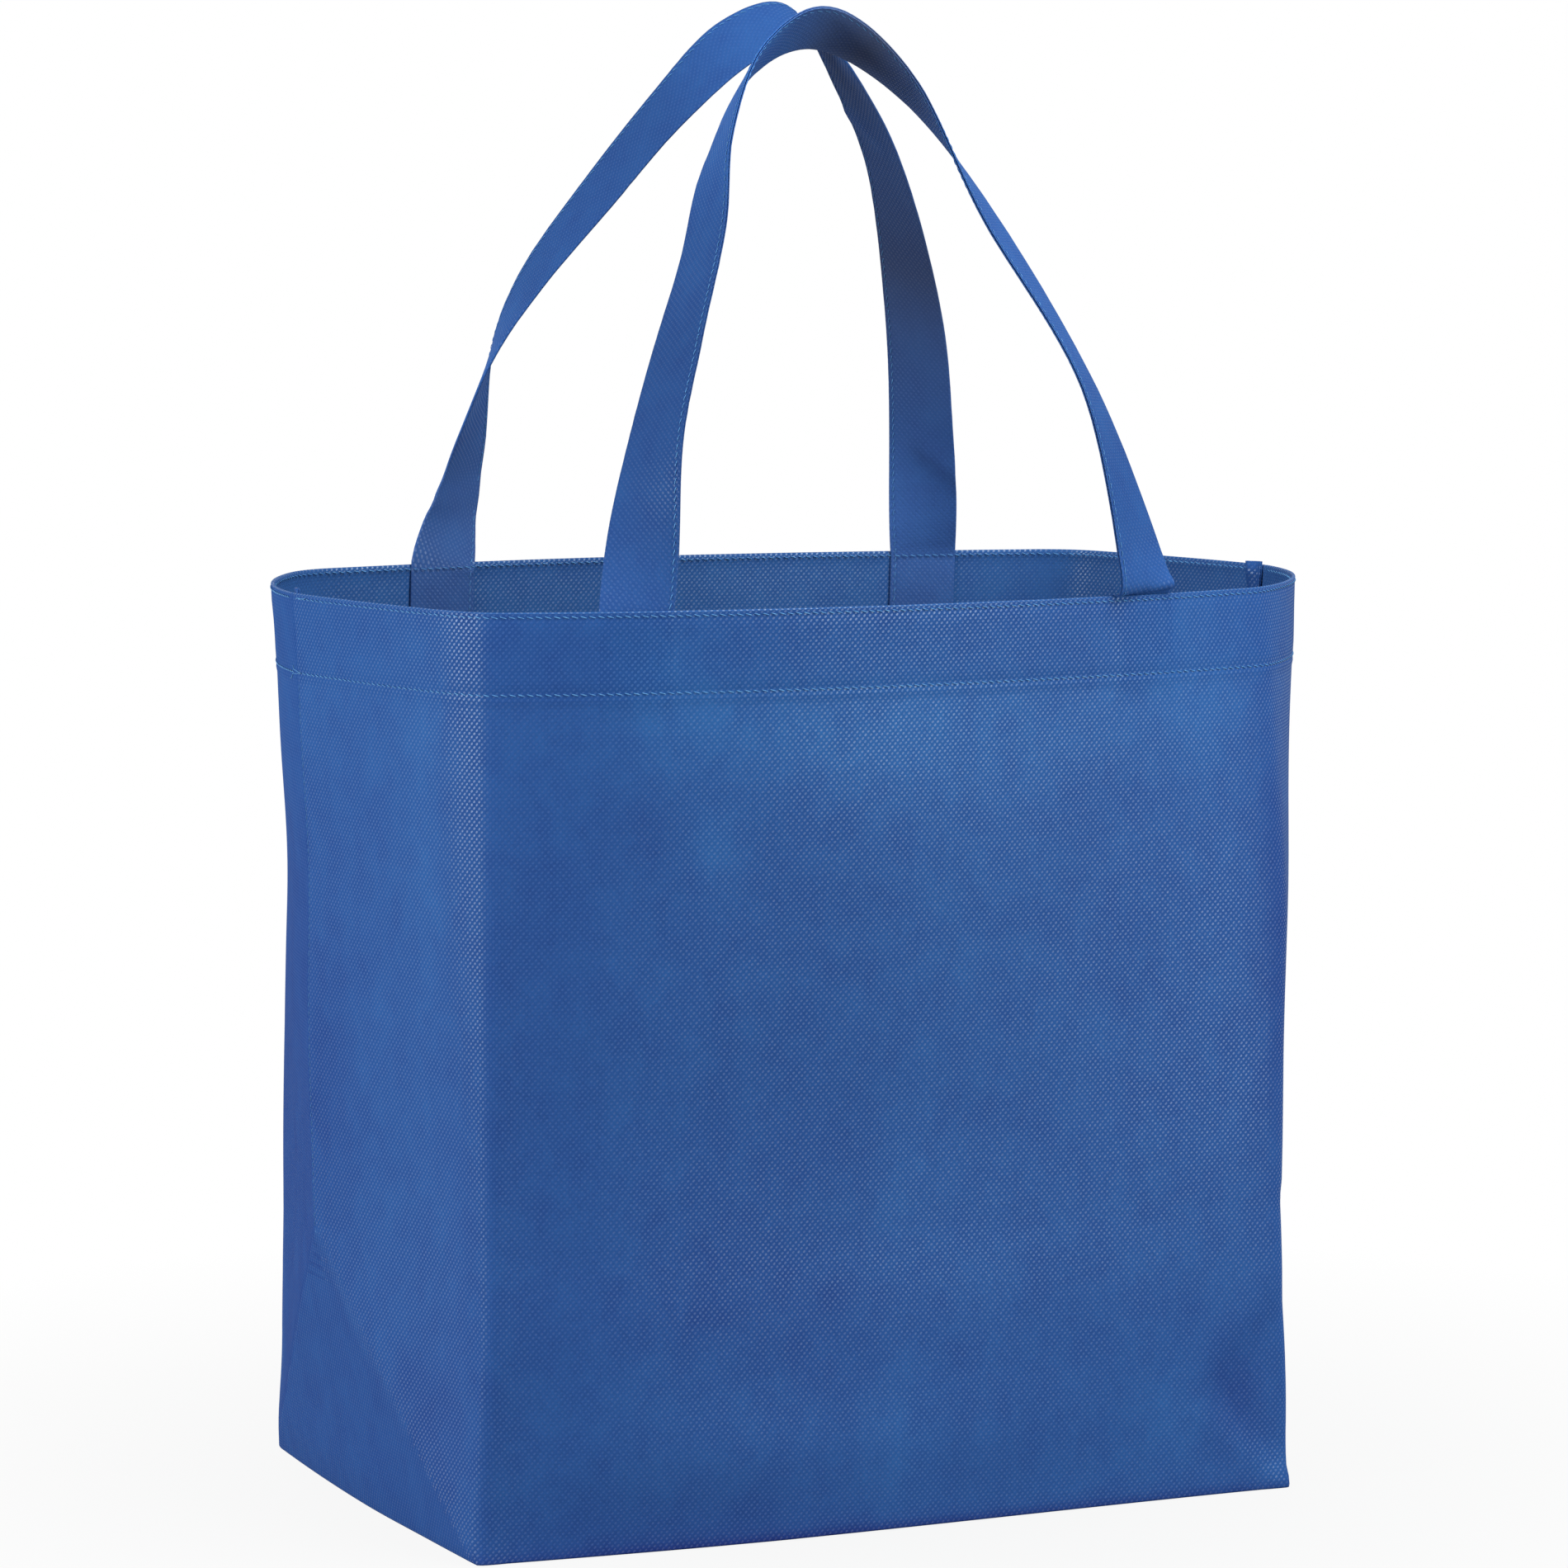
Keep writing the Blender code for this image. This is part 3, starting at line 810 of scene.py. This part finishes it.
def stitch_run(path, piece, thick=0.00018):
    """Adds lock stitches along a path of (point, outward) pairs to lists of points and faces."""
    points = piece[0]
    travelled = 0.0
    lengths = [0.0]
    for (a, _), (b, _) in zip(path, path[1:]):
        travelled += (b - a).length
        lengths.append(travelled)

    def at(t):
        for k in range(len(lengths) - 1):
            if t <= lengths[k + 1]:
                f = (t - lengths[k]) / max(lengths[k + 1] - lengths[k], 1e-9)
                return path[k][0].lerp(path[k + 1][0], f), path[k][1].lerp(path[k + 1][1], f).normalized()
        return path[-1]

    index = 0
    cursor = STITCH_PITCH * 0.4
    while cursor + STITCH_LENGTH < travelled:
        rows = []
        wobble = 0.1 * noise.noise(Vector((index * 3.1, len(points) * 0.001, 0.5)))
        for share, high, wide in STITCH_SHAPE:
            here = cursor + share * STITCH_LENGTH
            p, n = at(here)
            q = at(min(here + 0.0004, travelled))[0]
            r = at(max(here - 0.0004, 0))[0]
            along = (q - r).normalized()
            across = along.cross(n).normalized()
            mid = p + n * high + across * (share - 0.5) * 0.0006 * (1 + wobble)
            radius = thick * wide
            turns = [(math.cos(f), math.sin(f)) for f in STITCH_AROUND]
            rows.append([mid + across * radius * c + n * radius * d for c, d in turns])
        add_tube(rows, piece)
        cursor += STITCH_PITCH * (1 + 0.06 * noise.noise(Vector((index * 1.7, 4.2, 0.9))))
        index += 1


def thread_piece(name, piece, material):
    mesh = bpy.data.meshes.new(name)
    mesh.from_pydata([tuple(p) for p in piece[0]], [], piece[1])
    mesh.materials.append(material)
    mesh.shade_smooth()
    obj = bpy.data.objects.new(name, mesh)
    bpy.context.scene.collection.objects.link(obj)
    return obj


def hem_path(down, side, inside):
    """Path of a stitch row round half of the hem, with its outward directions."""
    z = HEIGHT - down
    columns = spaced([0.0026, HALF_ROUND - 0.0026], 0.0020)
    px, py, nx, ny = wall_at(z, columns, side)
    path = []
    for k, s in enumerate(columns):
        off = wall_offset(s, z, side)
        off += -HEM_INSIDE - SHEET / 2 if inside else SHEET / 2
        middle = HALF_ROUND / 2
        foot = abs(abs(s - middle) - FOOT_OFFSET) - STRAP_WIDTH / 2
        if inside and foot < 0:
            off -= STRAP_THICK + STRAP_CLEAR
        x, y = px[k] + nx[k] * off, py[k] + ny[k] * off
        n = Vector((nx[k], ny[k], 0)) * (-1 if inside else 1)
        path.append((place(x, y, z + droop(x, z)), n))
    return path


def seam_path(right):
    """Path down a side seam, where its stitches show between the two halves."""
    path = []
    for z in spaced([HALF_SIDE - 0.006, HEIGHT - HEM], 0.003)[::-1]:
        px, py, nx, ny = wall_at(z, [HALF_ROUND if right else 0.0], -1)
        off = wall_offset(0.0, z, -1) + CLOTH / 2 - 0.00003
        n = Vector((1.0 if right else -1.0, 0, 0))
        x = px[0] + n.x * off
        path.append((place(x, py[0] - 0.0002, z + droop(x, z)), n))
    return path


def loose_end(points_list, radius, piece):
    """A loose end of thread through the given points."""
    rings = []
    for k, p in enumerate(points_list):
        a = points_list[max(k - 1, 0)]
        b = points_list[min(k + 1, len(points_list) - 1)]
        along = (b - a).normalized()
        side = along.cross(Vector((0, 0, 1)))
        side = side.normalized() if side.length > 1e-6 else Vector((1, 0, 0))
        up = side.cross(along)
        turns = [(math.cos(f), math.sin(f)) for f in (0, 1.257, 2.513, 3.770, 5.027)]
        rings.append([p + side * radius * c + up * radius * d for c, d in turns])
    add_tube(rings, piece)


# the finishes
GROUND = (0.0260, 0.081, 0.258)
PRESSED = (0.0280, 0.086, 0.272)
SHADED = (0.056, 0.069, 0.130)
CLOUD_AND_LIGHT_TINT = (0.6, 1.0, 0.6)           # red, green and blue shares of the clouds and of the painted light and shade
# the same shares of the painted light and shade, for the straps
STRAP_LIGHT_TINT = (0.9, 1.0, 0.95)
LAYERS_BEHIND = (0.80, 0.84, 0.90, 1)
CLOUD_DEPTH = 0.36
DOT_RADIUS = 0.42                # in millimetres, as DOT_OVAL's stretch
DOT_OVAL = (0.80, 1.16, 0)
DOT_SLANT = 45
THREAD_DARK = (0.050, 0.180, 0.430, 1)
THREAD_LIGHT = (0.120, 0.320, 0.580, 1)


def plug(tree, socket, value):
    """Links another node's output into the socket, or sets a constant there."""
    if isinstance(value, bpy.types.NodeSocket):
        tree.links.new(value, socket)
    else:
        socket.default_value = value


def maths(tree, operation, *values):
    """Result of a Math node on sockets or numbers."""
    node = tree.nodes.new("ShaderNodeMath")
    node.operation = operation
    for socket, value in zip(node.inputs, values):
        plug(tree, socket, value)
    return node.outputs["Value"]


def vectors(tree, operation, *values):
    """Result of a Vector Math node on sockets or triples."""
    node = tree.nodes.new("ShaderNodeVectorMath")
    node.operation = operation
    for socket, value in zip(node.inputs, values):
        plug(tree, socket, value)
    return node.outputs["Value" if operation == "LENGTH" else "Vector"]


def span(tree, value, given, wanted, kind="LINEAR"):
    """The value carried from one range into another, held at its ends."""
    node = tree.nodes.new("ShaderNodeMapRange")
    node.interpolation_type = kind
    plug(tree, node.inputs["Value"], value)
    for name, limit in zip(("From Min", "From Max", "To Min", "To Max"), (*given, *wanted)):
        node.inputs[name].default_value = limit
    return node.outputs["Result"]


def mixed(tree, first, second, factor, blend="MIX"):
    """Colour mix of two sockets or colours."""
    node = tree.nodes.new("ShaderNodeMix")
    node.data_type = "RGBA"
    node.blend_type = blend
    for name, value in (("A", first), ("B", second), ("Factor", factor)):
        plug(tree, node.inputs[name], value)
    return node.outputs["Result"]


def painted(tree, look):
    """What the sheet's points hold under this name."""
    node = tree.nodes.new("ShaderNodeAttribute")
    node.attribute_name = look
    return node.outputs["Fac"]


def web_noise(tree, place_at, turn, stretch, scale, detail, roughness=0.5):
    """Noise drawn out and turned as the web was laid."""
    drawn = tree.nodes.new("ShaderNodeMapping")
    drawn.inputs["Rotation"].default_value = turn
    drawn.inputs["Scale"].default_value = stretch
    plug(tree, drawn.inputs["Vector"], place_at)
    node = tree.nodes.new("ShaderNodeTexNoise")
    node.inputs["Scale"].default_value = scale
    node.inputs["Detail"].default_value = detail
    node.inputs["Roughness"].default_value = roughness
    plug(tree, node.inputs["Vector"], drawn.outputs["Vector"])
    return node.outputs["Fac"]


def shared_group(name, given, results):
    """A node group with the given inputs and number outputs; returns it with its two end nodes."""
    tree = bpy.data.node_groups.new(name, "ShaderNodeTree")
    for label, kind in given:
        tree.interface.new_socket(label, in_out="INPUT", socket_type=kind)
    for label in results:
        tree.interface.new_socket(label, in_out="OUTPUT", socket_type="NodeSocketFloat")
    return tree, tree.nodes.new("NodeGroupInput"), tree.nodes.new("NodeGroupOutput")


def embossing_group():
    """Rows of small pressed ovals, every other row shifted by half a step."""
    given = (("Flat", "NodeSocketVector"), ("Dot size", "NodeSocketFloat"))
    tree, start, end = shared_group("embossed_dots", given, ("Dots", "Height"))
    cells = vectors(tree, "DIVIDE", start.outputs["Flat"], (DOT_ACROSS, DOT_ALONG, 1))
    reach = []
    for shift in (0.0, 0.5):
        moved = vectors(tree, "ADD", cells, (shift, shift, 0))
        centred = vectors(tree, "SUBTRACT", vectors(tree, "FRACTION", moved), (0.5, 0.5, 0))
        sized = vectors(tree, "MULTIPLY", centred, (DOT_ACROSS * 1000, DOT_ALONG * 1000, 0))
        # each dot is a short oval that slants down to the right
        slant = tree.nodes.new("ShaderNodeVectorRotate")
        slant.rotation_type = "Z_AXIS"
        slant.inputs["Angle"].default_value = math.radians(DOT_SLANT)
        plug(tree, slant.inputs["Vector"], sized)
        reach.append(vectors(tree, "LENGTH", vectors(tree, "MULTIPLY", slant.outputs["Vector"], DOT_OVAL)))
    ratio = maths(tree, "DIVIDE", maths(tree, "MINIMUM", *reach), start.outputs["Dot size"])
    dots = span(tree, ratio, (1.25, 0.75), (0.0, 1.0), "SMOOTHSTEP")
    plug(tree, end.inputs["Dots"], dots)
    plug(tree, end.inputs["Height"], maths(tree, "SUBTRACT", 1.0, dots))
    return tree


def fibre_group():
    """Faint clouds and short fibres of the spun web."""
    tree, start, end = shared_group("spun_fibres", (("Place", "NodeSocketVector"),), ("Clouds", "Fibres"))
    place_at = start.outputs["Place"]
    clouds = web_noise(tree, place_at, (0, 0, 0), (1.0, 1.0, 0.8), 85, 6, 0.62)
    fibres = web_noise(tree, place_at, (0.4, 0.7, 0.6), (1.0, 5.0, 1.4), 900, 3)
    plug(tree, end.inputs["Clouds"], clouds)
    plug(tree, end.inputs["Fibres"], fibres)
    return tree


def nonwoven(name, gloss, haze, light_tint, dots_group, fibres_group):
    """Royal blue spun web: dull ground, slightly glossy pressed dots, faint clouds."""
    mat = bpy.data.materials.new(name)
    mat.use_nodes = True
    tree = mat.node_tree
    shader = tree.nodes["Principled BSDF"]
    coords = tree.nodes.new("ShaderNodeTexCoord")
    flat = tree.nodes.new("ShaderNodeUVMap")
    flat.uv_map = "flat"
    dots = tree.nodes.new("ShaderNodeGroup")
    dots.node_tree = dots_group
    dots.inputs["Dot size"].default_value = DOT_RADIUS
    plug(tree, dots.inputs["Flat"], flat.outputs["UV"])
    fibres = tree.nodes.new("ShaderNodeGroup")
    fibres.node_tree = fibres_group
    plug(tree, fibres.inputs["Place"], coords.outputs["Object"])
    # clouds lighten and darken the ground
    dark = [c * (1 - CLOUD_DEPTH * k) for c, k in zip(GROUND, CLOUD_AND_LIGHT_TINT)]
    light = [c * (1 + CLOUD_DEPTH * k) for c, k in zip(GROUND, CLOUD_AND_LIGHT_TINT)]
    cloudy = mixed(tree, (*dark, 1), (*light, 1), fibres.outputs["Clouds"])
    fuzzy = mixed(tree, cloudy, fibres.outputs["Fibres"], 0.16, "OVERLAY")
    # more layers behind let less light through
    behind = maths(tree, "MULTIPLY", painted(tree, "layers"), 0.45)
    dull = mixed(tree, fuzzy, LAYERS_BEHIND, behind, "MULTIPLY")
    pressed = mixed(tree, dull, (*PRESSED, 1), dots.outputs["Dots"])
    # a grey cast where a strap lies in the shadow of its own arch
    shaded = mixed(tree, pressed, (*SHADED, 1), painted(tree, "grey"))
    # painted light and shade, stored at the points under the name web, scales the colour, most in green
    level = vectors(tree, "MULTIPLY_ADD", painted(tree, "web"), light_tint, (1, 1, 1))
    plug(tree, shader.inputs["Base Color"], vectors(tree, "MULTIPLY", shaded, level))
    rough = span(tree, dots.outputs["Dots"], (0.0, 1.0), (0.90, 0.55))
    plug(tree, shader.inputs["Roughness"], rough)
    # the dots are pressed in, the fibres stand up a little
    lift = maths(tree, "MULTIPLY_ADD", fibres.outputs["Fibres"], 0.35, dots.outputs["Height"])
    bump = tree.nodes.new("ShaderNodeBump")
    bump.inputs["Strength"].default_value = 0.6
    bump.inputs["Distance"].default_value = 0.00012
    plug(tree, bump.inputs["Height"], lift)
    plug(tree, shader.inputs["Normal"], bump.outputs["Normal"])
    shader.inputs["Metallic"].default_value = 0.0
    shader.inputs["Specular IOR Level"].default_value = haze
    # the pressed dots are fused smooth and catch the light
    uneven = span(tree, fibres.outputs["Fibres"], (0.35, 0.65), (0.45 * gloss, 1.25 * gloss))
    glossy = maths(tree, "MULTIPLY", dots.outputs["Dots"], uneven)
    plug(tree, shader.inputs["Coat Weight"], maths(tree, "MULTIPLY", glossy, painted(tree, "shine")))
    shader.inputs["Coat Roughness"].default_value = 0.38
    shader.inputs["Coat IOR"].default_value = 1.55
    return mat


def sewing_thread():
    """Light blue twisted thread."""
    mat = bpy.data.materials.new("light blue thread")
    mat.use_nodes = True
    tree = mat.node_tree
    shader = tree.nodes["Principled BSDF"]
    coords = tree.nodes.new("ShaderNodeTexCoord")
    twist = web_noise(tree, coords.outputs["Object"], (0, 0, 0), (1, 1, 1), 1400, 2)
    colour = tree.nodes.new("ShaderNodeValToRGB")
    dark, light = colour.color_ramp.elements
    dark.position, light.position = 0.35, 0.65
    dark.color, light.color = THREAD_DARK, THREAD_LIGHT
    plug(tree, colour.inputs["Fac"], twist)
    plug(tree, shader.inputs["Base Color"], colour.outputs["Color"])
    shader.inputs["Roughness"].default_value = 0.5
    return mat


DOTS, FIBRES = embossing_group(), fibre_group()
thread = sewing_thread()

body = make_body(nonwoven("body non-woven", 0.90, 0.04, CLOUD_AND_LIGHT_TINT, DOTS, FIBRES))
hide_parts("bag_body")
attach(body, "root")

hem_rows = ([], [])
for down in (STITCH_TOP, STITCH_LOW):
    for side in (-1, 1):
        for inside in (False, True):
            stitch_run(hem_path(down, side, inside), hem_rows)
for right in (False, True):
    stitch_run(seam_path(right), hem_rows, 0.00009)
# loose ends where the hem's rows cross the left seam: (below the rim, places along and up)
LOOSE_ENDS = (
    (STITCH_TOP, ((0.0, 0.0), (0.0012, 0.0002), (0.003, 0.0000), (0.0052, 0.0004))),
    (STITCH_LOW, ((0.0, 0.0), (-0.0014, -0.0008), (-0.0026, -0.0022), (-0.0040, -0.0027))),
    (STITCH_LOW, ((0.0, 0.0), (-0.0006, 0.0010), (-0.0010, 0.0022))),
)
for down, tail in LOOSE_ENDS:
    z = HEIGHT - down
    ends = []
    for along, up in tail:
        side = -1 if along >= 0 else 1
        px, py, nx, ny = wall_at(z, [abs(along) * 1.3 + 0.003], side)
        off = wall_offset(0.004, z, side) + CLOTH / 2 + 0.0004
        ends.append(place(px[0] + nx[0] * off, py[0] + ny[0] * off, z + up + droop(px[0], z)))
    loose_end(ends, 0.00013, hem_rows)
hem_thread = thread_piece("hem_stitching", hem_rows, thread)
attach(hem_thread, "root")

straps = (
    ("front_handle", FRONT_STATIONS, -1, FRONT_STRAP_PAINTED_LIGHT, FRONT_STRAP_GREY, ()),
    ("back_handle", BACK_STATIONS, 1, BACK_STRAP_PAINTED_LIGHT, BACK_STRAP_GREY, BACK_STRAP_DENTS),
)
for node, stations, side, painted_light_along, grey_along, dents in straps:
    frames = strap_frames(stations, side)
    frames = [(p + Vector((CENTRE[0], CENTRE[1], 0)), w) for p, w in frames]
    cloth = nonwoven(node + " non-woven", 0.35, 0.08, STRAP_LIGHT_TINT, DOTS, FIBRES)
    strap, full = strap_body(frames, node + "_strip", cloth, painted_light_along, grey_along, dents)
    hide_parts(node)
    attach(strap, "root")
    rows = ([], [])
    for face in (-1, 1):
        path = []
        for p, w, n, _, _ in full:
            path.append((p + w * (STRAP_WIDTH / 2 - STRAP_STITCH) + n * face * 0.00044, n * face))
        stitch_run(path, rows, 0.00013)
    strap_thread = thread_piece(node + "_stitching", rows, thread)
    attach(strap_thread, "root")


# the stage
FLOOR_COLOUR = (0.26, 0.25, 0.24, 1)
SKY_COLOUR = (0.93, 0.96, 1.0, 1)
COOL_LIGHT = (0.82, 0.96, 1.0)
CAMERA_PLACE = (-0.93192, -2.16046, 0.51713)
CAMERA_DIP = 6.47
CAMERA_TURN = -23.16
CAMERA_LENS = 151.56


def floor_material():
    """Pale floor that keeps the shadow near the bag and fades to plain white further off."""
    mat = bpy.data.materials.new("pale floor")
    mat.use_nodes = True
    tree = mat.node_tree
    shader = tree.nodes["Principled BSDF"]
    shader.inputs["Base Color"].default_value = FLOOR_COLOUR
    shader.inputs["Roughness"].default_value = 0.9
    shader.inputs["Specular IOR Level"].default_value = 0.1
    light = tree.nodes.new("ShaderNodeEmission")
    light.inputs["Strength"].default_value = 1.0
    coords = tree.nodes.new("ShaderNodeTexCoord")
    away = vectors(tree, "LENGTH", coords.outputs["Object"])
    fade = span(tree, away, (0.10, 0.50), (0.90, 1.0))
    path = tree.nodes.new("ShaderNodeLightPath")
    glossy = maths(tree, "MULTIPLY", path.outputs["Is Glossy Ray"], 0.4)
    seen = maths(tree, "MAXIMUM", path.outputs["Is Camera Ray"], glossy)
    both = tree.nodes.new("ShaderNodeMixShader")
    plug(tree, both.inputs["Fac"], maths(tree, "MULTIPLY", seen, fade))
    plug(tree, both.inputs[1], shader.outputs[0])
    plug(tree, both.inputs[2], light.outputs[0])
    plug(tree, tree.nodes["Material Output"].inputs["Surface"], both.outputs[0])
    return mat


def studio_world():
    """Soft sky light on the bag, plain white behind it."""
    world = bpy.data.worlds.new("studio")
    world.use_nodes = True
    tree = world.node_tree
    ambient = tree.nodes["Background"]
    ambient.inputs["Color"].default_value = SKY_COLOUR
    ambient.inputs["Strength"].default_value = 0.27
    white = tree.nodes.new("ShaderNodeBackground")
    white.inputs["Color"].default_value = (1, 1, 1, 1)
    white.inputs["Strength"].default_value = 1.0
    ray = tree.nodes.new("ShaderNodeLightPath")
    seen = maths(tree, "MAXIMUM", ray.outputs["Is Camera Ray"], ray.outputs["Is Transmission Ray"])
    glossy = maths(tree, "MULTIPLY", ray.outputs["Is Glossy Ray"], 0.35)
    pick = tree.nodes.new("ShaderNodeMixShader")
    plug(tree, pick.inputs["Fac"], maths(tree, "MAXIMUM", seen, glossy))
    plug(tree, pick.inputs[1], ambient.outputs[0])
    plug(tree, pick.inputs[2], white.outputs[0])
    plug(tree, tree.nodes["World Output"].inputs["Surface"], pick.outputs[0])
    return world


def softbox(name, place_at, look_at, width, height, watts, colour=(0.94, 0.97, 1.0)):
    """A rectangular lamp at place_at that faces look_at."""
    data = bpy.data.lights.new(name, "AREA")
    data.shape = "RECTANGLE"
    data.size = width
    data.size_y = height
    data.energy = watts
    data.color = colour
    lamp = bpy.data.objects.new(name, data)
    lamp.location = place_at
    lamp.rotation_euler = (Vector(look_at) - Vector(place_at)).to_track_quat("-Z", "Y").to_euler()
    bpy.context.scene.collection.objects.link(lamp)
    return lamp


bpy.ops.mesh.primitive_circle_add(vertices=96, radius=6, fill_type="NGON", location=(0, 0, -0.0003))
floor = bpy.context.object
floor.name = "floor"
floor.data.materials.append(floor_material())
floor.select_set(False)
bpy.context.scene.world = studio_world()

softbox("left softbox", (-2.00, -0.10, 0.56), (0, 0, 0.20), 1.2, 1.1, 42, (0.85, 0.96, 1.0))
softbox("right softbox", (0.95, -1.75, 0.56), (0, 0, 0.20), 1.0, 1.1, 21, COOL_LIGHT)
softbox("top softbox", (0.45, -0.75, 1.60), (0, 0, 0.30), 0.8, 0.8, 24, COOL_LIGHT)
back_lamp = softbox("back softbox", (0.70, 2.30, 0.80), (0, 0, 0.20), 1.4, 1.2, 40)
back_lamp.visible_glossy = False

lens = bpy.data.cameras.new("camera")
lens.lens = CAMERA_LENS
lens.sensor_width = 36
camera = bpy.data.objects.new("camera", lens)
camera.location = CAMERA_PLACE
camera.rotation_euler = (math.radians(90 - CAMERA_DIP), 0, math.radians(CAMERA_TURN))
bpy.context.scene.collection.objects.link(camera)
bpy.context.scene.camera = camera
bpy.context.scene.view_settings.view_transform = "Standard"
